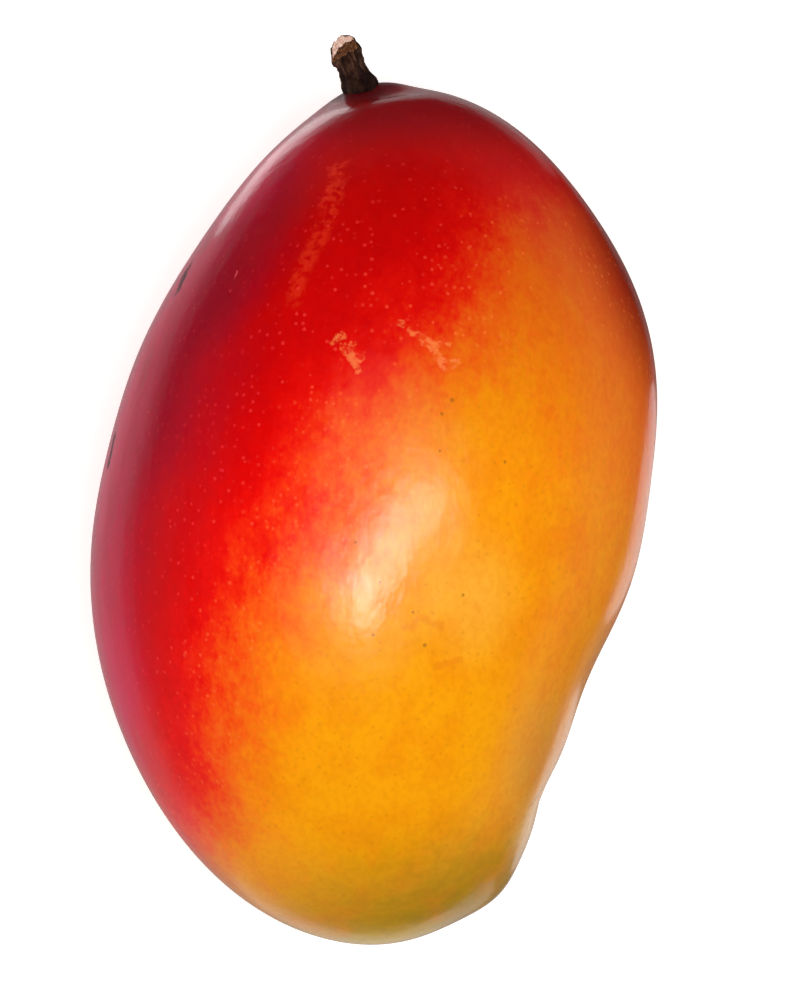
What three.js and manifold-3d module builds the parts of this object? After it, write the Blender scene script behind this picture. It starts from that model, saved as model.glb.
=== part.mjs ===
// A ripe mango with the dead stub of its stalk, lying on its cheek.
//
// Millimetres. +X is the ventral (beak) side, +Y the stem end, +Z up. The origin is on the
// surface that the fruit rests on, under the middle of its outline.
import * as THREE from 'three';
import { mergeVertices } from 'three/addons/utils/BufferGeometryUtils.js';
import Module from 'manifold-3d';

const wasm = await Module();
wasm.setup();

// ---------- driving dimensions ----------

// The fruit's outline, seen from above: its radius from the crown of the cheek at even steps of
// angle, anticlockwise from the ventral side.
const OUTLINE_RADII = [
  41, 46, 53, 61, // ventral side, up to the ventral shoulder
  63.5, 53, 45, 41.5, // stem end, then the sloping dorsal shoulder
  42, 45.5, 51.5, 59.5, // back, down to the round of the tip
  64.5, 56, 42.5, 39.5, // tip, beak and the hollow flank above it
];
const CHEEK_HALF_WIDTH = 42; // the plain oval that the outline fades to, high on the cheek
const CHEEK_HALF_LENGTH = 64;
const HALF_THICKNESS = 38.5; // cheek to cheek is twice this
const STEM_END_FULLNESS = 0.08; // how much thicker the stem end is than the tip
const CHEEK_FULLNESS = 0.03; // how far the cheeks stand outside a true ellipse
const LOWER_CHEEK_FLATTENING = 0.015;

// Small forms of the fruit, each a smooth push on the surface round one place.
const BEAK = { at: [18.5, -56.5, 0], reach: [7, 6, 9], push: [0.9, -0.9, 0] };
const SINUS = { at: [25.5, -41.5, 1], reach: [5, 5.5, 9], push: [-1.1, 0.3, 0] };
const STEM_COLLAR = { at: [-2.5, 64, -2], reach: [7, 7, 6], push: [-0.4, 1.5, 0] };
const STEM_HOLLOW = { at: [1, 64, 5], reach: [5, 5, 4], push: [0, -1.3, -0.3] };

const RESTING_CUT = 0.6; // depth of the flat spot that the fruit lies on

// The stub, from its root inside the fruit to its cut end.
const STEM_FOOT = [-2, 64.2, 0]; // where the stub's axis leaves the skin
const STEM_LEAN = 21; // degrees from the fruit's long axis, towards its back
const STEM_BOW = 0.25; // how far its middle stands off the straight axis, towards the back
const STEM_LENGTH = 6.9; // above the skin, at the axis
const STEM_ROOT_DEPTH = 2.8;
const STEM_FLARE_RADIUS = 2.9;
const STEM_NECK_RADIUS = 2.05;
const STEM_END_RADIUS = 2.3;
const STEM_ROOT_RADIUS = 1.9;
const CUT_DROP_TO_BACK = 0.1; // slope of the broken end, towards the fruit's back
const CUT_DROP_UPWARD = 0.7; // and towards the upper cheek
const CUT_CROWN = 1.2; // how far its middle stands above its two sides
const BARK_RIDGES = 7;
const BARK_RIDGE_DEPTH = 0.06;
const SOCKET_GAP = 0.3;

// Fineness of the facets.
const FRUIT_SEGMENTS = 80;
const FRUIT_RINGS = 52;
const RING_CROWDING = 0.25; // brings the rings closer together at the stem end and the tip
const STEM_SEGMENTS = 28;
const STEM_RINGS = 12;

// ---------- solids ----------

const asSolid = (geometry) => {
  const bare = geometry.clone();
  bare.deleteAttribute('normal');
  bare.deleteAttribute('uv');
  const merged = mergeVertices(bare);
  return new wasm.Manifold(new wasm.Mesh({
    numProp: 3,
    vertProperties: new Float32Array(merged.attributes.position.array),
    triVerts: new Uint32Array(merged.index.array),
  }));
};

const asGeometry = (solid) => {
  const mesh = solid.getMesh();
  const geometry = new THREE.BufferGeometry();
  geometry.setAttribute('position', new THREE.BufferAttribute(mesh.vertProperties, 3));
  geometry.setIndex(new THREE.BufferAttribute(mesh.triVerts, 1));
  geometry.computeVertexNormals();
  return geometry;
};

const moveVertices = (geometry, place) => {
  const position = geometry.attributes.position;
  const point = new THREE.Vector3();
  for (let i = 0; i < position.count; i += 1) {
    point.fromBufferAttribute(position, i);
    place(point);
    position.setXYZ(i, point.x, point.y, point.z);
  }
  return geometry;
};

// ---------- fruit ----------

// The smooth closed curve through the outline's radii: a trigonometric interpolation.
const outlineRadius = (angle) => {
  const count = OUTLINE_RADII.length;
  let radius = 0;
  for (let k = 0; k < count; k += 1) {
    const offset = angle - (2 * Math.PI * k) / count;
    const half = Math.tan(offset / 2);
    const weight = Math.abs(half) < 1e-9 ? 1 : Math.sin((count * offset) / 2) / (count * half);
    radius += OUTLINE_RADII[k] * weight;
  }
  return radius;
};

const ovalRadius = (angle) => 1 / Math.hypot(
  Math.cos(angle) / CHEEK_HALF_WIDTH,
  Math.sin(angle) / CHEEK_HALF_LENGTH,
);

const pushAt = (form, point) => {
  const distance = Math.hypot(
    (point.x - form.at[0]) / form.reach[0],
    (point.y - form.at[1]) / form.reach[1],
    (point.z - form.at[2]) / form.reach[2],
  );
  return Math.exp(-distance * distance);
};

// Takes a point of the unit sphere to the fruit's surface, measured from the middle of the fruit
// under the crown of its cheek.
const placeOnFruit = (point) => {
  const ringAngle = Math.acos(THREE.MathUtils.clamp(point.y, -1, 1));
  const crowded = ringAngle - RING_CROWDING * Math.sin(2 * ringAngle);
  const ringRadius = Math.hypot(point.x, point.z);
  const widen = ringRadius > 1e-9 ? Math.sin(crowded) / ringRadius : 0;
  const dx = point.x * widen;
  const dy = Math.cos(crowded);
  const dz = point.z * widen;

  const angle = Math.atan2(dy, dx);
  const flatness = dx * dx + dy * dy; // 0 at the crown, 1 round the outline
  const radius = THREE.MathUtils.lerp(ovalRadius(angle), outlineRadius(angle), flatness);
  const thickness = HALF_THICKNESS
    * (1 + STEM_END_FULLNESS * dy * flatness)
    * (1 + CHEEK_FULLNESS * 4 * flatness * dz * dz)
    * (1 + LOWER_CHEEK_FLATTENING * dz);
  point.set(dx * radius, dy * radius, dz * thickness);

  const forms = [BEAK, SINUS, STEM_COLLAR, STEM_HOLLOW];
  const pushes = forms.map((form) => pushAt(form, point));
  forms.forEach((form, i) => point.addScaledVector(new THREE.Vector3(...form.push), pushes[i]));
};

const fruitBody = () => asSolid(
  moveVertices(new THREE.SphereGeometry(1, FRUIT_SEGMENTS, FRUIT_RINGS), placeOnFruit),
);

// A block under the fruit, whose top face cuts the flat spot.
const floorBlock = (lowest) => {
  const side = 4 * HALF_THICKNESS;
  const block = new THREE.BoxGeometry(side, side, side);
  block.translate(0, 0, lowest + RESTING_CUT - side / 2);
  return asSolid(block);
};

// ---------- stem ----------

const smoothstep = THREE.MathUtils.smoothstep;

// The stub's radius at a height over the skin: root, flare, neck and cut end.
const stemRadius = (height, clearance) => {
  const intoFlare = smoothstep(height, -STEM_ROOT_DEPTH, 0);
  const intoNeck = smoothstep(height, 0, 0.5 * STEM_LENGTH);
  const intoEnd = smoothstep(height, 0.5 * STEM_LENGTH, STEM_LENGTH);
  return STEM_ROOT_RADIUS
    + (STEM_FLARE_RADIUS - STEM_ROOT_RADIUS) * intoFlare
    + (STEM_NECK_RADIUS - STEM_FLARE_RADIUS) * intoNeck
    + (STEM_END_RADIUS - STEM_NECK_RADIUS) * intoEnd
    + clearance;
};

// A stub standing on its foot, built upright and leant over; clearance fattens it all round.
const stemShape = (clearance) => {
  const length = STEM_ROOT_DEPTH + STEM_LENGTH + clearance;
  const shape = new THREE.CylinderGeometry(1, 1, length, STEM_SEGMENTS, STEM_RINGS);
  shape.translate(0, STEM_LENGTH - length / 2, 0);
  moveVertices(shape, (point) => {
    const height = point.y;
    const turn = Math.atan2(point.z, point.x);
    const ridges = 1 + BARK_RIDGE_DEPTH * Math.sin(BARK_RIDGES * turn) * smoothstep(height, 0, 2);
    const radius = Math.hypot(point.x, point.z) * stemRadius(height, clearance) * ridges;
    const along = smoothstep(height, 0, STEM_LENGTH);
    point.x = Math.cos(turn) * radius - STEM_BOW * Math.sin(Math.PI * along);
    point.z = Math.sin(turn) * radius;
    const aside = point.x / STEM_END_RADIUS;
    const drop = CUT_CROWN * aside * aside + CUT_DROP_UPWARD * point.z - CUT_DROP_TO_BACK * point.x;
    point.y -= along * drop;
  });
  shape.rotateZ(THREE.MathUtils.degToRad(STEM_LEAN));
  shape.translate(...STEM_FOOT);
  return shape;
};

// ---------- assembly ----------

const SKIN = new THREE.MeshStandardMaterial({ color: 0xe0641e, roughness: 0.4, metalness: 0 });
const BARK = new THREE.MeshStandardMaterial({ color: 0x3a2418, roughness: 0.9, metalness: 0 });

const named = (name, solid, material) => {
  const mesh = new THREE.Mesh(asGeometry(solid), material);
  mesh.name = name;
  return mesh;
};

const wholeFruit = fruitBody();
const fruit = wholeFruit
  .subtract(floorBlock(wholeFruit.boundingBox().min[2]))
  .subtract(asSolid(stemShape(SOCKET_GAP)));

const mango = new THREE.Group();
mango.add(named('fruit', fruit, SKIN));
mango.add(named('stem', asSolid(stemShape(0)), BARK));

const box = new THREE.Box3().setFromObject(mango);
const middle = box.getCenter(new THREE.Vector3());
mango.position.set(-middle.x, -middle.y, -box.min.z);

export default mango;
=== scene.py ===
import math

import bmesh
import bpy
from mathutils import Matrix, Vector, noise
from mathutils.bvhtree import BVHTree


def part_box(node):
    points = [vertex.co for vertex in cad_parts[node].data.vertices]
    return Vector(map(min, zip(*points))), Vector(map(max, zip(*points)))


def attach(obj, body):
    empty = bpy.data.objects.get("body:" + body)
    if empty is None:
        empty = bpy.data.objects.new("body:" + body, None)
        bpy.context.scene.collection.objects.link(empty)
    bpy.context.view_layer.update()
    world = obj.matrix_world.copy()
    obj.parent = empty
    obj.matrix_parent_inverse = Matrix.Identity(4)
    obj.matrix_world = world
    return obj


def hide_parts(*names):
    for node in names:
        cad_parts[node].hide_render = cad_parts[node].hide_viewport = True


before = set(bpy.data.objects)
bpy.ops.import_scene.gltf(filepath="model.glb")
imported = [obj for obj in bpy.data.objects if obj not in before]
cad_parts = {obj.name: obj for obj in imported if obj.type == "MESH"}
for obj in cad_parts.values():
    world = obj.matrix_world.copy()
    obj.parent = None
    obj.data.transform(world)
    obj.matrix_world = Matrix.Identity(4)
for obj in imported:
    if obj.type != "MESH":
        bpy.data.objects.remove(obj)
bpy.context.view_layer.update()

# A ripe mango with the dry stub of its stalk, lying on its cheek.
#
# The fruit and the stub are shaped in millimetres from the middle of the fruit, under the crown
# of its upper cheek: x towards the beak side, y towards the stem end, z up. The frame's box of the
# fruit then gives the scale and the shift that take both into the frame's own metres.

# ---------- sizes of the fruit, mm ----------

# The outline seen from above: its radius at even steps of angle, anticlockwise from the ventral side.
OUTLINE_RADII = (
    41, 46, 53, 61,  # ventral side, up to the ventral shoulder
    63.5, 53, 45, 41.5,  # stem end, then the sloping dorsal shoulder
    42, 45.5, 51.5, 59.5,  # back, down to the round of the tip
    64.5, 56, 42.5, 39.5,  # tip, beak and the hollow flank above it
)
CHEEK_HALF_WIDTH = 42  # the plain oval that the outline fades to, high on the cheek
CHEEK_HALF_LENGTH = 64
HALF_THICKNESS = 38.5
STEM_END_FULLNESS = 0.08  # how much thicker the stem end is than the tip
CHEEK_FULLNESS = 0.03  # how far the cheeks stand outside a true ellipse
LOWER_CHEEK_FLATTENING = 0.015
RESTING_CUT = 0.6  # depth of the flat spot that the fruit lies on
RESTING_ROUNDING = 0.25  # how softly the flat spot runs into the cheek

# Small forms: (middle, reach along x, y and z, push).
BEAK = ((18.5, -56.5, 0), (7, 6, 9), (0.9, -0.9, 0))
SINUS = ((25.5, -41.5, 1), (5, 5.5, 9), (-1.1, 0.3, 0))
STEM_COLLAR = ((-2.5, 64, -2), (7, 7, 6), (-0.4, 1.5, 0))
STEM_HOLLOW = ((1, 64, 5), (5, 5, 4), (0, -1.3, -0.3))
STEM_LIP = ((2.4, 65, 0), (3.4, 4, 4), (0.2, 0.45, 0))

# The crease over the beak: a fine groove from the edge of the flank up onto the cheek.
CREASE_START = (26.2, -40.3, -4)
CREASE_END = (23.0, -43.6, 9)
CREASE_WIDTH = 1.1
CREASE_DEPTH = 0.9
CREASE_INWARD = (-0.9, 0.25, -0.3)
CREASE_FADE = (0.04, 0.98)  # the shares of its length between which it deepens and fades again

WAVE_SIZE = 26  # the slow unevenness that every grown cheek has
WAVE_HEIGHT = 0.35
WAVE_PLACE = (3.1, 0.7, 5.2)  # where in the noise this fruit lies

FRUIT_SEGMENTS = 300
FRUIT_RINGS = 190
RING_CROWDING = 0.25  # brings the rings closer together at the stem end and the tip

# Heights of what only roughens the skin.
WAVE_BUMP = 0.10
RIPPLE_BUMP = 0.1
GRAIN_BUMP = 0.012
DOT_BUMP = 0.006

# ---------- sizes of the stub, mm ----------

STEM_FOOT = (-2, 64.2, 0)  # where the stub's axis leaves the skin
STEM_LEAN = 21  # degrees from the fruit's long axis, towards its back
STEM_UP = (-math.sin(math.radians(STEM_LEAN)), math.cos(math.radians(STEM_LEAN)), 0)
STEM_BOW = 0.25  # how far its middle stands off the straight axis, towards the back
STEM_LENGTH = 6.9  # above the skin, at the axis
STEM_ROOT_DEPTH = 2.8
STEM_FLARE_RADIUS = 2.75
STEM_NECK_RADIUS = 2.05
STEM_END_RADIUS = 2.15
STEM_ROOT_RADIUS = 1.9
STEM_SEGMENTS = 128
STEM_RINGS = 128
FACE_SHARE = 0.22  # the share of the stub's rings that its break takes, and that its hidden root takes
ROOT_SHARE = 0.06

BARK_RIDGES = 7
BARK_RIDGE_DEPTH = 0.06
BARK_RIDGES_FULL = 2  # the height over the skin at which the ridges are full
BARK_ROUGHNESS = 0.16  # the height of the bark's flakes
BARK_FLAKES = ((2.2, 0.8, 1.0), (6, 2.5, 0.5))  # noise cells round it, cells per mm along it, share

CUT_DROP_TO_BACK = 0.1  # slope of the broken end, towards the fruit's back
CUT_DROP_UPWARD = 0.7  # and towards the upper cheek
CUT_CROWN = 0.85  # how far its middle stands above its two sides
BREAK_STEP = 0.35  # how far the pale back of the break stands above its front
BREAK_EDGE = (-0.65, 0.05)  # between which heights the pale back gives way to the front
BREAK_EDGE_SLANT = 0.25
BREAK_SPLINTERS = 0.35
SPLINTER_CELLS = (1.6, 4.1)  # per mm, coarse and fine
TORN_FLARE = 0.5  # how far the break spreads on the stub's outer side
TORN_FLARE_SPAN = (0.78, 0.97)  # in shares of the stub's length
TORN_REACH = 0.09  # how far down the stub its torn tissue shows, as a share of its length
TORN_RIM = (0.97, 0.8)  # the shares of the break's radius between which bark gives way to tissue
FIBRE_TISSUE = 0.35  # the brown fibres, between bark at 0 and pale wood at 1
BARK_SIDE = 0.3  # lower than this over the stub's axis, its side is bark right up to the break

# ---------- shape helpers ----------


def smoothstep(value, low, high):
    t = min(max((value - low) / (high - low), 0.0), 1.0)
    return t * t * (3 - 2 * t)


def smooth_floor(value, floor, rounding):
    """The larger of value and floor, with a rounded step between them."""
    gap = max(rounding - abs(value - floor), 0.0) / rounding
    return max(value, floor) + gap * gap * rounding / 4


def gaussian(point, middle, reach):
    offset = point - Vector(middle)
    square = sum((offset[i] / reach[i]) ** 2 for i in range(3))
    return math.exp(-square)


def outline_radius(angle):
    """A trigonometric interpolation: the smooth closed curve through the outline's radii."""
    count = len(OUTLINE_RADII)
    radius = 0.0
    for k, station in enumerate(OUTLINE_RADII):
        offset = angle - 2 * math.pi * k / count
        half = math.tan(offset / 2)
        weight = 1.0 if abs(half) < 1e-9 else math.sin(count * offset / 2) / (count * half)
        radius += station * weight
    return radius


def oval_radius(angle):
    across = math.cos(angle) / CHEEK_HALF_WIDTH
    along = math.sin(angle) / CHEEK_HALF_LENGTH
    return 1 / math.hypot(across, along)


def poles_on_y(upright):
    return Vector((upright.x, upright.z, -upright.y))


def crowd_rings(direction):
    """Brings the rings of a unit sphere with its poles on Y closer together at its poles."""
    ring_angle = math.acos(min(max(direction.y, -1), 1))
    crowded = ring_angle - RING_CROWDING * math.sin(2 * ring_angle)
    ring_radius = math.hypot(direction.x, direction.z)
    widen = math.sin(crowded) / ring_radius if ring_radius > 1e-9 else 0.0
    return Vector((direction.x * widen, math.cos(crowded), direction.z * widen))


# ---------- the fruit's surface ----------


def pillow(direction):
    """Takes a direction to the plain surface of the fruit."""
    angle = math.atan2(direction.y, direction.x)
    flatness = direction.x ** 2 + direction.y ** 2  # 0 at the crown, 1 round the outline
    oval = oval_radius(angle)
    radius = oval + (outline_radius(angle) - oval) * flatness
    thickness = HALF_THICKNESS * (1 + STEM_END_FULLNESS * direction.y * flatness)
    thickness *= 1 + CHEEK_FULLNESS * 4 * flatness * direction.z ** 2
    thickness *= 1 + LOWER_CHEEK_FLATTENING * direction.z
    return Vector((direction.x * radius, direction.y * radius, direction.z * thickness))


def small_forms(point):
    """The push that the beak, the sinus and the stem end give a point."""
    push = Vector((0, 0, 0))
    for middle, reach, full_push in (BEAK, SINUS, STEM_COLLAR, STEM_HOLLOW, STEM_LIP):
        push += Vector(full_push) * gaussian(point, middle, reach)
    return push


def crease(point):
    """The push of the groove over the beak."""
    start = Vector(CREASE_START)
    run = Vector(CREASE_END) - start
    along = min(max((point - start).dot(run) / run.length_squared, 0.0), 1.0)
    distance = (point - start - run * along).length
    fade_from, fade_to = CREASE_FADE
    fade = math.sin(math.pi * min(max(along, fade_from), fade_to))
    return Vector(CREASE_INWARD) * CREASE_DEPTH * fade * math.exp(-(distance / CREASE_WIDTH) ** 2)


def unevenness(point, direction):
    wave = noise.noise(point / WAVE_SIZE + Vector(WAVE_PLACE))
    return direction * WAVE_HEIGHT * wave


def fruit_surface(direction):
    point = pillow(direction)
    return point + small_forms(point) + crease(point) + unevenness(point, direction)


# ---------- the stub's surface ----------


def stem_radius(height):
    into_flare = smoothstep(height, -STEM_ROOT_DEPTH, 0)
    into_neck = smoothstep(height, 0, 0.5 * STEM_LENGTH)
    into_end = smoothstep(height, 0.5 * STEM_LENGTH, STEM_LENGTH)
    return (
        STEM_ROOT_RADIUS
        + (STEM_FLARE_RADIUS - STEM_ROOT_RADIUS) * into_flare
        + (STEM_NECK_RADIUS - STEM_FLARE_RADIUS) * into_neck
        + (STEM_END_RADIUS - STEM_NECK_RADIUS) * into_end
    )


def bark_radius(turn, height):
    """The stub's radius at a turn round it, with its bark's ridges and flakes."""
    fullness = smoothstep(height, 0, BARK_RIDGES_FULL)
    ridges = 1 + BARK_RIDGE_DEPTH * math.sin(BARK_RIDGES * turn) * fullness
    flakes = 0.0
    for around, along, share in BARK_FLAKES:
        place = Vector((math.cos(turn) * around, math.sin(turn) * around, height * along))
        flakes += share * noise.noise(place)
    return stem_radius(height) * ridges + BARK_ROUGHNESS * flakes


def break_height(across, upward):
    """How far the broken face reaches past the stub's length, and how pale its tissue is there."""
    drop = CUT_CROWN * (across / STEM_END_RADIUS) ** 2
    drop += CUT_DROP_UPWARD * upward - CUT_DROP_TO_BACK * across
    pale = 1 - smoothstep(upward + BREAK_EDGE_SLANT * across, *BREAK_EDGE)
    place = Vector((across, upward, 0))
    coarse, fine = SPLINTER_CELLS
    splinters = noise.noise(place * coarse) + 0.5 * noise.noise(place * fine)
    return BREAK_STEP * (pale - 0.5) + BREAK_SPLINTERS * splinters - drop, pale


def torn_flare(turn, height, spread):
    """How far the torn end spreads outwards, on the side away from the fruit's ventral edge."""
    start, end = TORN_FLARE_SPAN
    flare = TORN_FLARE * smoothstep(height, start * STEM_LENGTH, end * STEM_LENGTH)
    return flare * spread * max(-math.cos(turn), 0)


def stem_point(direction):
    """Takes a direction to the stub: its place, and its tissue from 0, bark, to 1, pale wood."""
    ring = math.acos(min(max(direction.y, -1), 1)) / math.pi
    turn = math.atan2(direction.z, direction.x)
    down = min(max((ring - FACE_SHARE) / (1 - FACE_SHARE - ROOT_SHARE), 0), 1)
    height = STEM_LENGTH - down * (STEM_LENGTH + STEM_ROOT_DEPTH)
    spread = min(ring / FACE_SHARE, (1 - ring) / ROOT_SHARE, 1)
    along = smoothstep(height, 0, STEM_LENGTH)

    radius = spread * bark_radius(turn, height)
    across = math.cos(turn) * radius - STEM_BOW * math.sin(math.pi * along)
    across -= torn_flare(turn, height, spread)
    upward = math.sin(turn) * radius
    reach, pale = break_height(across, upward)
    height += along * reach

    torn = smoothstep(down, TORN_REACH, 0.0) * smoothstep(spread, *TORN_RIM)
    tissue = torn * (FIBRE_TISSUE + (1 - FIBRE_TISSUE) * pale)
    if upward < BARK_SIDE and down > 0:
        tissue = 0

    lean = math.radians(STEM_LEAN)
    place = Vector((
        across * math.cos(lean) - height * math.sin(lean),
        across * math.sin(lean) + height * math.cos(lean),
        upward,
    ))
    return Vector(STEM_FOOT) + place, tissue


# ---------- pieces ----------


def new_piece(name, builder):
    """A smooth-shaded object with the builder's mesh, at the origin."""
    mesh = bpy.data.meshes.new(name)
    builder.to_mesh(mesh)
    builder.free()
    for face in mesh.polygons:
        face.use_smooth = True
    piece = bpy.data.objects.new(name, mesh)
    bpy.context.scene.collection.objects.link(piece)
    return piece


def extent(builder, axis):
    values = [vertex.co[axis] for vertex in builder.verts]
    return min(values), max(values)


def shape_fruit():
    """The fruit in millimetres, flattened where it rests; also the height of its resting spot."""
    builder = bmesh.new()
    bmesh.ops.create_uvsphere(
        builder, u_segments=FRUIT_SEGMENTS, v_segments=FRUIT_RINGS, radius=1)
    for vertex in builder.verts:
        vertex.co = fruit_surface(crowd_rings(poles_on_y(vertex.co)))
    floor = extent(builder, 2)[0] + RESTING_CUT
    for vertex in builder.verts:
        vertex.co.z = smooth_floor(vertex.co.z, floor, RESTING_ROUNDING)
    return builder, floor


def shape_stem():
    """The stub in millimetres, with its tissue kept in an attribute."""
    builder = bmesh.new()
    bmesh.ops.create_uvsphere(
        builder, u_segments=STEM_SEGMENTS, v_segments=STEM_RINGS, radius=1)
    tissue = builder.verts.layers.float.new("tissue")
    for vertex in builder.verts:
        vertex.co, vertex[tissue] = stem_point(poles_on_y(vertex.co))
    return builder


def place_in_frame(builder, floor):
    """The scale and shift from the fruit's millimetres to the frame's metres."""
    low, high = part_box("fruit")
    x_low, x_high = extent(builder, 0)
    y_low, y_high = extent(builder, 1)
    scale = (high.x - low.x) / (x_high - x_low)
    shift = Vector((
        (low.x + high.x) / 2 - scale * (x_low + x_high) / 2,
        (low.y + high.y) / 2 - scale * (y_low + y_high) / 2,
        low.z - scale * floor,
    ))
    return scale, shift


def into_frame(builder, scale, shift):
    for vertex in builder.verts:
        vertex.co = vertex.co * scale + shift


# ---------- material helpers ----------


def daylight(red, green, blue):
    """A colour as it looks in daylight, 0 to 255, as the shader's linear values."""
    def linear(channel):
        c = channel / 255
        return c / 12.92 if c <= 0.04045 else ((c + 0.055) / 1.055) ** 2.4
    return (linear(red), linear(green), linear(blue), 1.0)


class Finish:
    """A material's graph. Most methods add nodes and return their output."""

    def __init__(self, name):
        self.material = bpy.data.materials.new(name)
        self.material.use_nodes = True
        self.tree = self.material.node_tree
        self.shader = self.tree.nodes["Principled BSDF"]

    def feed(self, socket, value):
        if isinstance(value, bpy.types.NodeSocket):
            self.tree.links.new(value, socket)
        elif value is not None:
            socket.default_value = value

    def set_shader(self, inputs):
        for socket, value in inputs.items():
            self.feed(self.shader.inputs[socket], value)

    def add(self, kind, inputs, **settings):
        node = self.tree.nodes.new(kind)
        for name, value in settings.items():
            setattr(node, name, value)
        for socket, value in inputs.items():
            self.feed(node.inputs[socket], value)
        return node

    def math(self, operation, a, b=None, c=None):
        return self.add("ShaderNodeMath", {0: a, 1: b, 2: c}, operation=operation).outputs[0]

    def product(self, *factors):
        result = factors[0]
        for factor in factors[1:]:
            result = self.math("MULTIPLY", result, factor)
        return result

    def plus(self, total, value, amount):
        """The total and an amount of the value, added up."""
        return self.math("MULTIPLY_ADD", value, amount, total)

    def vector(self, operation, a, b=None, output=0):
        return self.add("ShaderNodeVectorMath", {0: a, 1: b}, operation=operation).outputs[output]

    def dot(self, a, b):
        return self.vector("DOT_PRODUCT", a, b, output=1)

    def length(self, a):
        return self.vector("LENGTH", a, output=1)

    def scaled(self, a, factor):
        return self.add("ShaderNodeVectorMath", {0: a, 3: factor}, operation="SCALE").outputs[0]

    def mapped(self, point, location=(0, 0, 0), rotation=(0, 0, 0), scale=(1, 1, 1)):
        inputs = {"Vector": point, "Location": location, "Rotation": rotation, "Scale": scale}
        return self.add("ShaderNodeMapping", inputs).outputs[0]

    def ramp(self, value, low, high, to_low=0.0, to_high=1.0, kind="SMOOTHSTEP"):
        inputs = {0: value, 1: low, 2: high, 3: to_low, 4: to_high}
        return self.add("ShaderNodeMapRange", inputs, interpolation_type=kind).outputs[0]

    def noise(self, point, size, stretch=(1, 1, 1), detail=3.0, roughness=0.55):
        """Clouds of a size in millimetres, stretched along x, y and z."""
        scaled = self.mapped(point, scale=tuple(1 / (size * s) for s in stretch))
        inputs = {"Vector": scaled, "Scale": 1.0, "Detail": detail, "Roughness": roughness}
        return self.add("ShaderNodeTexNoise", inputs).outputs["Fac"]

    def mix(self, factor, a, b, blend="MIX"):
        node = self.add("ShaderNodeMix", {}, data_type="RGBA", blend_type=blend)
        self.feed(node.inputs[0], factor)
        self.feed(node.inputs[6], a)
        self.feed(node.inputs[7], b)
        return node.outputs[2]

    def tinted(self, colour, where, strength, tint):
        """A colour with a tint over it where the mask is 1, at the given strength."""
        return self.mix(self.product(where, strength), colour, tint)

    def colours(self, value, stops):
        node = self.add("ShaderNodeValToRGB", {0: value})
        elements = node.color_ramp.elements
        elements[0].position, elements[0].color = stops[0]
        elements[1].position, elements[1].color = stops[-1]
        for position, colour in stops[1:-1]:
            elements.new(position).color = colour
        return node.outputs[0]

    def spot(self, point, middle, reach, inner=0.0):
        """1 in the middle, up to inner of the way out, falling smoothly to 0 at its reach."""
        centred = self.vector("SUBTRACT", point, middle)
        scaled = self.vector("DIVIDE", centred, reach)
        return self.ramp(self.length(scaled), 1.0, inner)

    def bump(self, height_mm, scale):
        """Roughens the surface by a height in millimetres; scale is a millimetre in the scene."""
        inputs = {"Height": height_mm, "Distance": scale, "Strength": 1.0}
        self.feed(self.shader.inputs["Normal"], self.add("ShaderNodeBump", inputs).outputs[0])


def own_millimetres(finish, scale, shift):
    """Object coordinates turned into the fruit's own millimetres."""
    place = finish.add("ShaderNodeTexCoord", {}).outputs["Object"]
    return finish.mapped(place, tuple(-shift / scale), (0, 0, 0), (1 / scale,) * 3)


NOISE_SPAN = (0.25, 0.75)  # between which nearly all of a noise's values lie

# ---------- the blush of the skin ----------

# The blush has levels, which a ramp of colours reads: 0 is where red turns to orange. Each side of
# the fruit has a field that climbs evenly, given by its climb per mm and its level in the middle.
BACK_CLIMB, BACK_LEVEL = (-1.4, 0.37, 0), -28.2
SHOULDER_CLIMB, SHOULDER_LEVEL = (-0.65, 0.9, 0), -23.0
VENTRAL_CLIMB, VENTRAL_LEVEL = (0.5, 0.3, 0), -35.5
SHOULDER_LIMIT = 8
BLUSH_BLEND = 12
UNDERSIDE_FADE = 26  # how far the level falls on the cheek that faces down
UNDERSIDE_SPAN = (-4, -34)

# Where the blush departs from those fields: middle, reach, how far in it is full, and by how much.
BLUSH_SPOTS = (
    ((-25, 46, 14), (20, 26, 40), 0.6, 11),  # the dark shoulder
    ((-21, 16, 30), (16, 22, 40), 0.2, 6),  # the deep red below it
    ((-38, 22, 8), (16, 30, 40), 0.4, 7),  # and the back below it
    ((0, 68, 6), (40, 18, 40), 0.5, 9),  # round the stalk
    ((-5, -3, 38), (20, 25, 60), 0.0, 13),  # down the middle of the cheek
    ((0, 21, 36), (15, 13, 30), 0.0, 4.5),  # and above it
    ((-8, -11, 36), (10, 8, 30), 0.0, -4),  # the orange below that
    ((-1, 11, 38), (14, 10, 30), 0.0, -2),  # and between them
    ((22, 42, 20), (18, 18, 34), 0.0, -7),  # the orange on the ventral shoulder
    ((34, 20, 12), (14, 22, 30), 0.0, -3),  # and down the ventral edge
    ((23.5, -19, 20), (14, 24, 40), 0.0, 6),  # the ventral flank
    ((-24, -41, 10), (14, 16, 30), 0.2, 6),  # the lower back
    ((-13, -27, 30), (10, 12, 30), 0.0, 2.5),  # and the cheek beside it
)

BLUSH_COLOURS = (
    (-36, daylight(250, 162, 6)),
    (-26, daylight(252, 158, 8)),
    (-20, daylight(252, 146, 10)),
    (-15, daylight(252, 126, 16)),
    (-10, daylight(251, 102, 18)),
    (-6, daylight(250, 76, 14)),
    (-2, daylight(247, 44, 10)),
    (2, daylight(240, 13, 5)),
    (6, daylight(226, 4, 3)),
    (11, daylight(211, 2, 6)),
    (16, daylight(199, 2, 18)),
    (21, daylight(184, 2, 28)),
    (28, daylight(166, 2, 34)),
)

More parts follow.
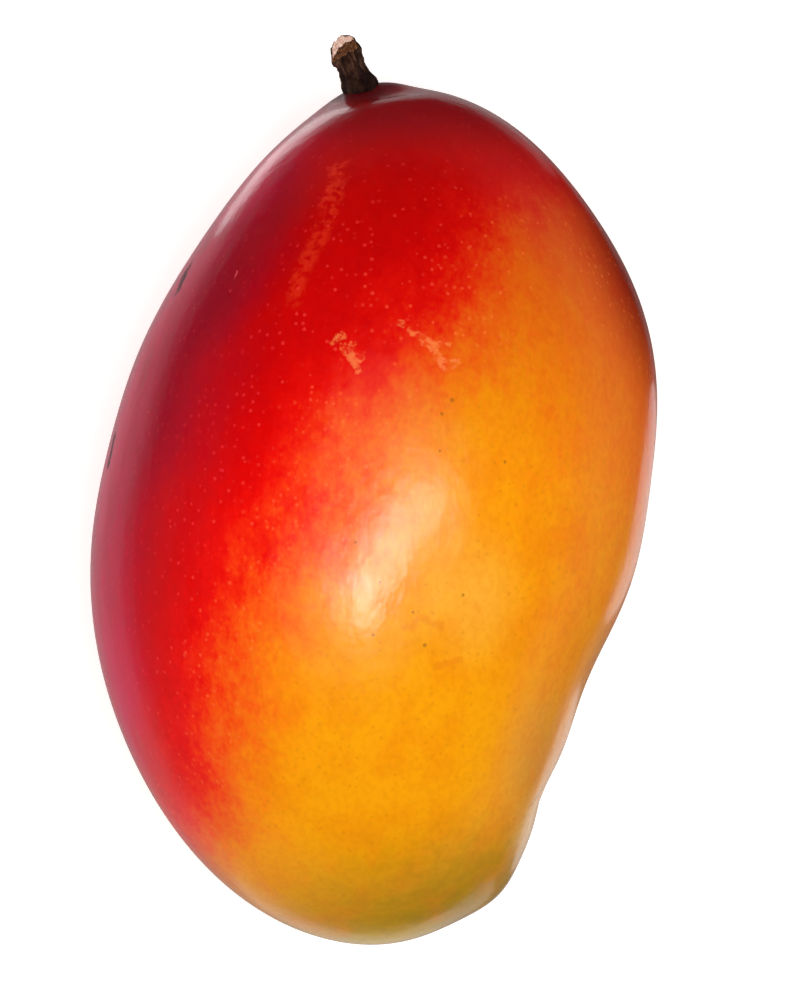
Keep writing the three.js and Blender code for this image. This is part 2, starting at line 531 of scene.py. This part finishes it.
# How uneven it is: the size of its patches in mm, their stretch, and by how much they differ.
SKIN_PATCHES = (
    (14, (1, 1.2, 1), 3),
    (4.0, (1, 1.7, 1), 2.8),
    (1.7, (1, 1.5, 1), 2.6),
    (0.7, (1, 1.3, 1), 2.2),
)
EVEN_RED = (10, -4, 0.5, 1.0)  # from the first level to the second, its share goes from 0.5 to 1
EVEN_SHOULDER = ((36, 28, 10), (30, 40, 40), 0.3)
EVEN_SHOULDER_SHARE = 0.45


def skin_level(finish, point):
    """The level of the blush at a point, before its unevenness."""
    def field(climb, level):
        return finish.math("ADD", finish.dot(point, climb), level)

    height = finish.add("ShaderNodeSeparateXYZ", {0: point}).outputs["Z"]
    shoulder = field(SHOULDER_CLIMB, SHOULDER_LEVEL)
    shoulder = finish.math("SMOOTH_MIN", shoulder, SHOULDER_LIMIT, BLUSH_BLEND)
    level = finish.math("SMOOTH_MAX", field(BACK_CLIMB, BACK_LEVEL), shoulder, BLUSH_BLEND)
    level = finish.math("SMOOTH_MAX", level, field(VENTRAL_CLIMB, VENTRAL_LEVEL), BLUSH_BLEND)
    for middle, reach, inner, amount in BLUSH_SPOTS:
        level = finish.plus(level, finish.spot(point, middle, reach, inner), amount)
    underside = finish.ramp(height, *UNDERSIDE_SPAN, 0, -UNDERSIDE_FADE)
    return finish.math("ADD", level, underside)


def skin_unevenness(finish, point, level):
    """What the patches and grain of the skin add to the level of its blush."""
    total = 0.0
    for size, stretch, amount in SKIN_PATCHES:
        patch = finish.noise(point, size, stretch)
        total = finish.math("ADD", total, finish.ramp(patch, *NOISE_SPAN, -amount, amount, "LINEAR"))
    shoulder = finish.spot(point, *EVEN_SHOULDER)
    even_shoulder = finish.ramp(shoulder, 0, 1, 1.0, EVEN_SHOULDER_SHARE)
    return finish.product(total, finish.ramp(level, *EVEN_RED), even_shoulder)


def level_share(level):
    """Where a level of the blush lies on its ramp of colours, 0 to 1."""
    low, high = BLUSH_COLOURS[0][0], BLUSH_COLOURS[-1][0]
    return (level - low) / (high - low)


def colours_of_level(finish, share, stops):
    return finish.colours(share, [(level_share(level), colour) for level, colour in stops])


# ---------- the skin's broad tints, painted shade, highlight and sheen, and mottling ---

PAINTED_SHADE_AT_STEM_END = (0.62, 0.55, 0.4, 1.0)  # painted shade: what the colour is multiplied by towards the stem end, where less light falls
PAINTED_SHADE_AT_STEM_END_SPAN = (5, 55)  # mm along the fruit

# Broad tints: middle, reach, how far in it is full, strength and colour.
SKIN_TINTS = (
    ((40, 40, 2), (16, 31, 25), 0.2, 0.92, daylight(146, 30, 8)),  # red-brown blush with painted shade along the ventral edge
    ((0, 66, 10), (34, 14, 30), 0.4, 0.5, daylight(120, 4, 16)),  # painted shade, dark crimson, at the stem end
    ((10, -62, 4), (38, 26, 38), 0.2, 0.88, daylight(176, 134, 0)),  # olive tip
    ((24, -36, 18), (9, 18, 18), 0.0, 0.55, daylight(206, 144, 66)),  # tan flank over the beak
    ((23, -46, 8), (6, 9, 14), 0.0, 0.5, daylight(252, 202, 128)),  # painted highlight on the beak
    ((2, -67, 2), (30, 9, 22), 0.2, 0.8, daylight(228, 186, 40)),  # paler rim of the tip
    ((-25, -56, 0), (14, 14, 16), 0.1, 0.35, daylight(170, 84, 20)),  # brown lower back
    ((14, -11.5, 36), (10, 13.5, 30), 0.1, 0.5, daylight(254, 184, 70)),  # paler yellow beside the highlight, partly a painted glow of the highlight
    ((4, -6, -44), (44, 66, 34), 0.4, 0.75, daylight(196, 176, 44)),  # green cheek that faces down
)

# The mauve bloom that the deep blush has round the fruit's back, partly a painted mauve sheen along
# the back's edge: the heights and the place across the fruit between which it comes in, and the levels.
BLOOM_SHEEN_COLOUR = daylight(220, 8, 78)
BLOOM_SHEEN_TOP = (26, 6)
BLOOM_SHEEN_BOTTOM = (-16, 0)
BLOOM_SHEEN_SIDE = (-2, -18)
BLOOM_SHEEN_LEVELS = (3, 12)
BLOOM_SHEEN_STREAKS = (5.0, (1, 3.0, 1), 4.0)  # noise: size in mm, stretch and detail
BLOOM_SHEEN_STREAK_RAMP = (0.35, 0.62, 0.65, 1.0)

# Clouds, olive flecks and mottling: their noise's size in mm and stretch, then the values between
# which it comes in and from how faint to how strong.
CLOUDS = (5.5, (1, 1.3, 1))
CLOUD_RAMP = (0.42, 0.68, 0.0, 0.3)
CLOUD_LEVELS = (-14, -22)
CLOUD_COLOUR = daylight(240, 126, 6)
OLIVE = (2.6, (1.3, 1, 1))
OLIVE_RAMP = (0.32, 0.68, 0.08, 0.34)
OLIVE_PLACE = ((14, -58, 12), (36, 22, 40), 0.1)
OLIVE_COLOUR = daylight(138, 118, 2)
MOTTLE = (0.9, (1, 1.4, 1))
MOTTLE_RAMP = (0.58, 0.38, 0.0, 0.35)
MOTTLE_LEVELS = (-4, -14)
MOTTLE_SHADE = (0.88, 0.78, 0.5, 1.0)


def broad_tints(finish, point, colour):
    along = finish.add("ShaderNodeSeparateXYZ", {0: point}).outputs["Y"]
    # Painted shade: the colour darkens towards the stem end.
    painted_shade = finish.ramp(along, *PAINTED_SHADE_AT_STEM_END_SPAN, kind="LINEAR")
    colour = finish.mix(painted_shade, colour, PAINTED_SHADE_AT_STEM_END, "MULTIPLY")
    # Some of these tints are painted light: shade on the ventral edge and at the stem end, a highlight
    # on the beak and a glow beside the cheek's highlight.
    for middle, reach, inner, strength, tint in SKIN_TINTS:
        colour = finish.tinted(colour, finish.spot(point, middle, reach, inner), strength, tint)
    return colour


def mauve_bloom_and_sheen(finish, point, level, colour):
    place = finish.add("ShaderNodeSeparateXYZ", {0: point})
    streaks = finish.noise(point, *BLOOM_SHEEN_STREAKS)
    bloom_and_sheen = finish.product(
        finish.ramp(place.outputs["Z"], *BLOOM_SHEEN_TOP),
        finish.ramp(level, *BLOOM_SHEEN_LEVELS),
        finish.ramp(place.outputs["Z"], *BLOOM_SHEEN_BOTTOM),
        finish.ramp(place.outputs["X"], *BLOOM_SHEEN_SIDE),
        finish.ramp(streaks, *BLOOM_SHEEN_STREAK_RAMP),
    )
    # Partly real bloom, partly a painted mauve sheen along the back's edge.
    return finish.mix(bloom_and_sheen, colour, BLOOM_SHEEN_COLOUR)


def yellow_mottling(finish, point, level, colour):
    """Orange clouds and a fine grain in the yellow, and olive flecks at the tip."""
    clouds = finish.ramp(finish.noise(point, *CLOUDS), *CLOUD_RAMP)
    clouds = finish.product(clouds, finish.ramp(level, *CLOUD_LEVELS))
    colour = finish.mix(clouds, colour, CLOUD_COLOUR)
    olive = finish.ramp(finish.noise(point, *OLIVE), *OLIVE_RAMP)
    olive = finish.product(olive, finish.spot(point, *OLIVE_PLACE))
    colour = finish.mix(olive, colour, OLIVE_COLOUR)
    mottle = finish.ramp(finish.noise(point, *MOTTLE), *MOTTLE_RAMP)
    mottle = finish.product(mottle, finish.ramp(level, *MOTTLE_LEVELS))
    return finish.mix(mottle, colour, MOTTLE_SHADE, "MULTIPLY")


# ---------- the skin's dots ----------

LENTICEL_CELL = 1.1  # mm
LENTICEL_RADIUS = 0.34  # of a cell
LENTICEL_CROWDING_SIZE = 9.0  # mm
LENTICEL_CHANCE = (0.85, 1.45)  # from none to all of them, in a cell's chance and crowding together

# The dots' own colours along the levels: brown in the yellow, light red in the red.
DOT_COLOURS = (
    (-20, daylight(196, 108, 14)),
    (-10, daylight(254, 128, 50)),
    (0, daylight(254, 90, 52)),
    (10, daylight(248, 48, 58)),
)

# How strongly they show, from one level or place along the fruit to another.
DOTS_IN_RED = (20, 8, 0.2, 0.48)
DOTS_IN_YELLOW = (-18, -8, 0.45, 1.0)
DOTS_AT_STEM_END = (56, 28, 0.35, 1.0)


def lenticels(finish, point):
    """Scattered dots a fraction of a millimetre across, 1 in their middles."""
    inputs = {"Vector": point, "Scale": 1 / LENTICEL_CELL, "Randomness": 1.0}
    cells = finish.add("ShaderNodeTexVoronoi", inputs, feature="F1")
    dots = finish.ramp(cells.outputs["Distance"], LENTICEL_RADIUS, LENTICEL_RADIUS / 2)
    chance = finish.add("ShaderNodeSeparateColor", {0: cells.outputs["Color"]}).outputs[0]
    crowding = finish.noise(point, LENTICEL_CROWDING_SIZE)
    chosen = finish.ramp(finish.math("ADD", chance, crowding), *LENTICEL_CHANCE)
    return finish.product(dots, chosen)


def dotted(finish, point, level, share, dots, colour):
    """The colour with the lenticels in it."""
    along = finish.add("ShaderNodeSeparateXYZ", {0: point}).outputs["Y"]
    strength = finish.product(
        dots,
        finish.ramp(level, *DOTS_IN_RED),
        finish.ramp(level, *DOTS_IN_YELLOW),
        finish.ramp(along, *DOTS_AT_STEM_END),
    )
    return finish.mix(strength, colour, colours_of_level(finish, share, DOT_COLOURS))


# ---------- the marks on the upper cheek ----------

# Strokes, mm, as seen from above: the points that each runs through.
RUB_STROKES = (
    ((-4.8, 51.6), (-6.0, 47.8), (-6.4, 44.1), (-8.1, 40.6), (-10.0, 37.1), (-11.6, 31.8)),
)
RUSSET_STROKES = (
    ((-4.4, 24.4), (-3.2, 23.2), (-2.6, 22.2), (-2.0, 21.2)),
    ((-3.2, 24.8), (-3.0, 23.4), (-1.5, 23.0)),
    ((-5.9, 25.2), (-4.4, 25.9)),
    ((3.6, 27.9), (4.1, 27.6)),
    ((5.6, 26.8), (7.0, 26.2), (8.8, 24.6), (9.6, 22.6), (10.4, 21.6)),
    ((7.4, 25.4), (9.8, 25.3), (10.6, 25.0)),
    ((9.8, 22.6), (11.0, 22.1), (12.4, 22.5)),
)
STAIN_STROKES = (
    ((4.7, -16.5), (6.9, -14.9), (9.9, -16.1)),
    ((9.5, -21.8), (12.2, -21.3)),
)
# Dark marks along the back's edge.
DARK_EDGE_STROKES = (
    ((-27.9, 36.4), (-28.5, 34.9), (-29.0, 33.6)),
    ((-38.7, 11.8), (-39.1, 9.7), (-39.5, 7.9)),
)
# Painted shade along the crease over the beak.
CREASE_SHADE_STROKES = (((25.6, -40.0), (24.2, -42.2), (23.2, -43.4)),)
SCRATCH_STROKES = (((-19.9, 35.8), (-21.1, 33.1)),)

# Each kind of stroke: half its width in mm, its strength and its colour.
RUB_LOOK = (1.9, 0.48, daylight(226, 50, 22))
RUSSET_LOOK = (0.75, 0.52, daylight(255, 142, 70))
STAIN_LOOK = (1.0, 0.3, daylight(226, 104, 16))
DARK_EDGE_LOOK = (1.25, 0.8, daylight(58, 8, 28))
CREASE_SHADE_LOOK = (0.9, 0.25, daylight(140, 72, 14))
SCRATCH_LOOK = (0.35, 0.6, daylight(236, 84, 104))
STROKE_CORE = 0.35  # the share of its half width that is full

# Specks: x, y and radius.
SPECKS = (
    (11.5, 16.8, 0.5), (10.0, 14.8, 0.35), (9.7, 9.4, 0.3), (19.2, 7.8, 0.35), (-2.6, -3.9, 0.4),
    (1.0, -9.7, 0.3), (13.1, -11.6, 0.35), (5.8, -14.1, 0.3), (0.0, -17.4, 0.35), (7.5, -18.9, 0.45),
)
SPECK_CORE = 0.2
SPECK_STRENGTH = 0.65
SPECK_COLOUR = daylight(138, 78, 18)

RAGGED_PUSHES = ((2.6, 2.4), (0.7, 1.0))  # how ragged the strokes are: size and reach, mm

# Where the rub and, less so, the russet are broken up.
BREAKS_SIZE = 1.2
BREAKS_SPAN = (0.36, 0.58)
RUSSET_LEAST = 0.1


def ragged_place(finish, point):
    """The point pushed about by noise, so that a stroke drawn there has ragged edges."""
    ragged = point
    for size, amount in RAGGED_PUSHES:
        push = finish.add("ShaderNodeTexNoise", {"Vector": point, "Scale": 1 / size, "Detail": 2.0})
        push = finish.vector("SUBTRACT", push.outputs["Color"], (0.5, 0.5, 0.5))
        ragged = finish.vector("ADD", ragged, finish.scaled(push, amount))
    return ragged


def strokes(finish, point, on_skin, paths, width):
    """1 along the strokes through the given places on the skin, 0 past their width."""
    nearest = None
    for path in paths:
        for start, end in zip(path, path[1:]):
            start, end = on_skin(*start), on_skin(*end)
            run = end - start
            from_start = finish.vector("SUBTRACT", point, start)
            along = finish.dot(from_start, run / run.length_squared)
            along = finish.ramp(along, 0, 1, kind="LINEAR")
            away = finish.vector("SUBTRACT", from_start, finish.scaled(run, along))
            distance = finish.length(away)
            nearest = distance if nearest is None else finish.math("MINIMUM", nearest, distance)
    return finish.ramp(nearest, width, STROKE_CORE * width)


def skin_marks(finish, point, colour, on_skin):
    """The colour with the marks in it, and where they are corky."""
    ragged = ragged_place(finish, point)

    def mark(colour, paths, look, breaks=None):
        width, strength, tint = look
        where = strokes(finish, ragged, on_skin, paths, width)
        if breaks is not None:
            where = finish.product(where, breaks)
        return finish.tinted(colour, where, strength, tint), where

    breaks = finish.ramp(finish.noise(point, BREAKS_SIZE), *BREAKS_SPAN)
    colour, _ = mark(colour, RUB_STROKES, RUB_LOOK, breaks)
    part_breaks = finish.ramp(breaks, 0, 1, RUSSET_LEAST, 1.0)
    colour, russet = mark(colour, RUSSET_STROKES, RUSSET_LOOK, part_breaks)
    for x, y, radius in SPECKS:
        speck = finish.spot(point, on_skin(x, y), (radius, radius, radius), SPECK_CORE)
        colour = finish.tinted(colour, speck, SPECK_STRENGTH, SPECK_COLOUR)
    colour, _ = mark(colour, STAIN_STROKES, STAIN_LOOK)
    colour, dark_edge = mark(colour, DARK_EDGE_STROKES, DARK_EDGE_LOOK)
    # Painted shade in the crease over the beak.
    colour, _ = mark(colour, CREASE_SHADE_STROKES, CREASE_SHADE_LOOK)
    colour, _ = mark(colour, SCRATCH_STROKES, SCRATCH_LOOK)
    return colour, finish.math("MAXIMUM", russet, dark_edge)


# ---------- the two materials ----------

FOOT_REACH = (8.5, 6, 8)  # painted shade, dark crimson, in the hollow round the stub, where the skin is also duller
FOOT_CORE = 0.45
FOOT_SHADE_STRENGTH = 0.85
FOOT_SHADE_COLOUR = daylight(88, 2, 10)
FOOT_DULLNESS = 0.3
CORK_DULLNESS = 0.25
SKIN_ROUGHNESS = (0.17, 0.25)  # between which the grain takes it
SKIN_GLOSS = {"Specular IOR Level": 0.35, "Coat Weight": 0.18, "Coat Roughness": 0.08}

# What only roughens the skin: size in mm, stretch and detail of the noise.
SKIN_WAVES = (7.0, (1, 2.2, 1), 1.0)
SKIN_RIPPLES = (2.6, (1, 1.6, 1), 2.0)
SKIN_GRAIN_SIZE = 1.3

# The bark's colours along its noise, those of the torn fibres and those of the pale wood.
BARK_COLOURS = ((0.32, daylight(16, 6, 4)), (0.5, daylight(48, 25, 16)), (0.68, daylight(98, 68, 50)))
FIBRE_COLOURS = ((0.3, daylight(40, 16, 8)), (0.5, daylight(98, 54, 28)), (0.7, daylight(160, 106, 66)))
WOOD_COLOURS = (
    (0.3, daylight(190, 130, 114)), (0.5, daylight(234, 190, 172)), (0.7, daylight(252, 228, 204)))
BARK_STREAKS = (0.9, (1, 3.5, 1), 5.0)  # noise: size in mm, stretch and detail
BARK_FLECKS = (0.3, (1, 3.2, 1), 4.0)
BARK_FOOT = (4.5, 0.5, 0.0, 0.75)  # the bark darkens from the first height, mm, to the second
BARK_FOOT_COLOUR = daylight(24, 7, 5)
FIBRE_SPAN = (0.1, 0.25)  # of tissue, between bark and fibres
WOOD_SPAN = (0.6, 0.85)  # and between fibres and wood
CRACK_TISSUE = 0.6  # the dark line where the wood begins
CRACK_SPAN = (0.14, 0.02)
CRACK_STRENGTH = 0.85
CRACK_COLOUR = daylight(52, 18, 4)
STUB_ROUGHNESS = (0.3, 0.7, 0.7, 0.9)  # of the flecks, and the roughness there
STUB_SPECULAR = 0.2
BARK_STREAK_BUMP = 0.5  # mm
BARK_FLECK_BUMP = 0.12


def skin_finish(scale, shift, on_skin):
    finish = Finish("mango_skin")
    point = own_millimetres(finish, scale, shift)
    grain = finish.noise(point, SKIN_GRAIN_SIZE)
    dots = lenticels(finish, point)
    foot = finish.spot(point, STEM_FOOT, FOOT_REACH, FOOT_CORE)

    level = skin_level(finish, point)
    uneven = finish.math("ADD", level, skin_unevenness(finish, point, level))
    share = finish.ramp(uneven, BLUSH_COLOURS[0][0], BLUSH_COLOURS[-1][0], kind="LINEAR")
    colour = colours_of_level(finish, share, BLUSH_COLOURS)
    colour = broad_tints(finish, point, colour)
    colour = mauve_bloom_and_sheen(finish, point, level, colour)
    colour = yellow_mottling(finish, point, level, colour)
    colour = dotted(finish, point, level, share, dots, colour)
    colour, corky = skin_marks(finish, point, colour, on_skin)
    # Painted shade in the hollow round the stub.
    colour = finish.tinted(colour, foot, FOOT_SHADE_STRENGTH, FOOT_SHADE_COLOUR)

    roughness = finish.ramp(grain, *NOISE_SPAN, *SKIN_ROUGHNESS, "LINEAR")
    roughness = finish.plus(roughness, corky, CORK_DULLNESS)
    roughness = finish.plus(roughness, foot, FOOT_DULLNESS)
    finish.set_shader({"Base Color": colour, "Roughness": roughness, **SKIN_GLOSS})

    waves = finish.noise(point, *SKIN_WAVES)
    ripples = finish.noise(point, *SKIN_RIPPLES)
    height = finish.product(waves, WAVE_BUMP)
    height = finish.plus(height, ripples, RIPPLE_BUMP)
    height = finish.plus(height, grain, GRAIN_BUMP)
    height = finish.plus(height, dots, DOT_BUMP)
    finish.bump(height, scale)
    return finish.material


def bark_finish(scale, shift):
    finish = Finish("stalk_bark")
    point = own_millimetres(finish, scale, shift)
    upright = finish.mapped(point, rotation=(0, 0, math.radians(-STEM_LEAN)))
    height = finish.dot(finish.vector("SUBTRACT", point, STEM_FOOT), STEM_UP)
    streaks = finish.noise(upright, *BARK_STREAKS)
    flecks = finish.noise(upright, *BARK_FLECKS)
    tissue = finish.add("ShaderNodeAttribute", {}, attribute_name="tissue").outputs["Fac"]

    bark = finish.colours(streaks, BARK_COLOURS)
    bark = finish.mix(finish.ramp(height, *BARK_FOOT), bark, BARK_FOOT_COLOUR)
    fibres = finish.colours(flecks, FIBRE_COLOURS)
    wood = finish.colours(flecks, WOOD_COLOURS)
    colour = finish.mix(finish.ramp(tissue, *FIBRE_SPAN), bark, fibres)
    colour = finish.mix(finish.ramp(tissue, *WOOD_SPAN), colour, wood)
    crack = finish.math("ABSOLUTE", finish.math("SUBTRACT", tissue, CRACK_TISSUE))
    crack = finish.ramp(crack, *CRACK_SPAN)
    colour = finish.tinted(colour, crack, CRACK_STRENGTH, CRACK_COLOUR)
    roughness = finish.ramp(flecks, *STUB_ROUGHNESS)
    finish.set_shader({
        "Base Color": colour, "Roughness": roughness, "Specular IOR Level": STUB_SPECULAR})

    relief = finish.product(streaks, BARK_STREAK_BUMP)
    relief = finish.plus(relief, flecks, BARK_FLECK_BUMP)
    finish.bump(relief, scale)
    return finish.material


# ---------- studio ----------

# In metres, unless it says otherwise.
VIEW_HEIGHT = 0.1503  # what the camera takes in, top to bottom, at the fruit's outline
VIEW_MIDDLE = (3.46, 2.25)  # mm from the crown
CAMERA_DISTANCE = 1.2
SENSOR_HEIGHT = 24  # mm
WORLD_STRENGTH = 0.12
FLOOR_COLOUR = daylight(245, 245, 245)
FLOOR_ROUGHNESS = 0.9
FLOOR_GLOW = 0.45
GLOW_COLOUR = daylight(255, 255, 255)
FLOOR_HALF_SIZE = 3.0

# Lights: name, place from the fruit's middle, size, brightness and turn. The fill lights colour
# the things; the others show only as reflections, from above or, off the table, from beside.
FILL_LIGHTS = (
    ("fill", (0.10, -0.05, 1.6), (1.4, 1.4), 5.9, 0),
    ("fill_side", (-0.9, 0.1, 0.12), (0.8, 0.8), 0.6, 0),
)
WINDOW_LIGHTS = (
    ("window", (0.30, -0.02, 1.56), (0.60, 0.20), 8.0, 10),
    ("window_core", (0.05, -0.20, 1.55), (0.44, 0.26), 7.5, 16),
    ("window_top", (0.27, 0.11, 1.56), (0.34, 0.20), 1.2, 40),
    ("window_end", (0.72, -0.06, 1.50), (0.3, 0.25), 1.4, 11),
    ("glint", (-0.04, -0.34, 1.56), (0.19, 0.32), 11.5, 4),
    ("window_side", (-0.30, -0.28, 1.56), (0.2, 0.36), 3.6, 0),
    ("window_halo", (-0.50, -0.40, 1.50), (0.9, 0.8), 0.55, 0),
)
TABLE_LIGHTS = (
    ("table_glow", (-0.045, -0.02, -0.0375), (0.165, 0.20), 0.2, 0),
    ("table_halo", (-0.05, -0.02, -0.0377), (0.24, 0.27), 0.16, 0),
    ("table_side", (0.062, -0.003, -0.0375), (0.03, 0.05), 0.6, 0),
    ("table_tip", (0.0, -0.094, -0.0375), (0.11, 0.035), 0.5, 0),
    ("table_beak", (0.045, -0.050, -0.0375), (0.03, 0.035), 0.6, 0),
    ("table_top", (0.005, 0.085, -0.0375), (0.10, 0.03), 0.2, -10),
    ("table_strip", (-0.030, 0.080, -0.0365), (0.055, 0.02), 1.3, 46),
)


def make_camera(scale, shift):
    data = bpy.data.cameras.new("camera")
    data.sensor_fit = "VERTICAL"
    data.sensor_height = SENSOR_HEIGHT
    data.lens = SENSOR_HEIGHT * CAMERA_DISTANCE / VIEW_HEIGHT
    camera = bpy.data.objects.new("camera", data)
    bpy.context.scene.collection.objects.link(camera)
    camera.location = (
        shift.x + scale * VIEW_MIDDLE[0],
        shift.y + scale * VIEW_MIDDLE[1],
        shift.z + CAMERA_DISTANCE,
    )
    bpy.context.scene.camera = camera


def make_softbox(name, middle, place, size, brightness, turn, seen_in_gloss=True, level=False):
    """An oval soft light at a place measured from the fruit's middle, which it faces.

    It either lights the colour of things or shows as a reflection, never both. Brightness is
    that of its face, and turn, in degrees, is anticlockwise as seen from above. A level light
    faces straight up.
    """
    data = bpy.data.lights.new(name, "AREA")
    data.shape = "ELLIPSE"
    data.size, data.size_y = size
    data.energy = brightness * math.pi * (math.pi / 4 * size[0] * size[1])
    light = bpy.data.objects.new(name, data)
    bpy.context.scene.collection.objects.link(light)
    light.location = middle + Vector(place)
    behind = Vector((0, 0, -1)) if level else Vector(place).normalized()
    across = Vector((math.cos(math.radians(turn)), math.sin(math.radians(turn)), 0))
    across = (across - behind * across.dot(behind)).normalized()
    axes = Matrix((across, behind.cross(across), behind)).transposed()
    light.rotation_euler = axes.to_euler()
    light.visible_camera = False
    light.visible_diffuse = not seen_in_gloss
    light.visible_glossy = seen_in_gloss


def make_lights(middle):
    for name, place, size, brightness, turn in FILL_LIGHTS:
        make_softbox(name, middle, place, size, brightness, turn, seen_in_gloss=False)
    for name, place, size, brightness, turn in WINDOW_LIGHTS:
        make_softbox(name, middle, place, size, brightness, turn)
    for name, place, size, brightness, turn in TABLE_LIGHTS:
        make_softbox(name, middle, place, size, brightness, turn, level=True)


def make_floor():
    builder = bmesh.new()
    bmesh.ops.create_grid(builder, x_segments=1, y_segments=1, size=FLOOR_HALF_SIZE)
    floor = new_piece("floor", builder)
    finish = Finish("white_floor")
    finish.set_shader({
        "Base Color": FLOOR_COLOUR, "Roughness": FLOOR_ROUGHNESS,
        "Emission Color": GLOW_COLOUR, "Emission Strength": FLOOR_GLOW})
    floor.data.materials.append(finish.material)
    floor.visible_glossy = False
    floor.visible_shadow = False


def make_world():
    world = bpy.data.worlds.new("studio")
    bpy.context.scene.world = world
    world.use_nodes = True
    background = world.node_tree.nodes["Background"]
    background.inputs["Color"].default_value = (1, 1, 1, 1)
    background.inputs["Strength"].default_value = WORLD_STRENGTH
    world.cycles_visibility.glossy = False


# ---------- the whole ----------

fruit_shape, resting_height = shape_fruit()
scale, shift = place_in_frame(fruit_shape, resting_height)
into_frame(fruit_shape, scale, shift)
fruit = new_piece("mango_fruit", fruit_shape)
fruit_tree = BVHTree.FromPolygons(
    [vertex.co for vertex in fruit.data.vertices],
    [face.vertices for face in fruit.data.polygons])


def on_skin(x, y):
    """The place on the upper cheek, in the fruit's millimetres, over x and y."""
    above = Vector((x, y, 2 * HALF_THICKNESS)) * scale + shift
    return (fruit_tree.ray_cast(above, Vector((0, 0, -1)))[0] - shift) / scale


fruit.data.materials.append(skin_finish(scale, shift, on_skin))
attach(fruit, "root")
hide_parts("fruit")

stem_shape = shape_stem()
into_frame(stem_shape, scale, shift)
stem = new_piece("mango_stem", stem_shape)
stem.data.materials.append(bark_finish(scale, shift))
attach(stem, "root")
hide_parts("stem")

make_camera(scale, shift)
make_floor()
make_world()
make_lights(Vector(shift))
bpy.context.scene.view_settings.view_transform = "Standard"
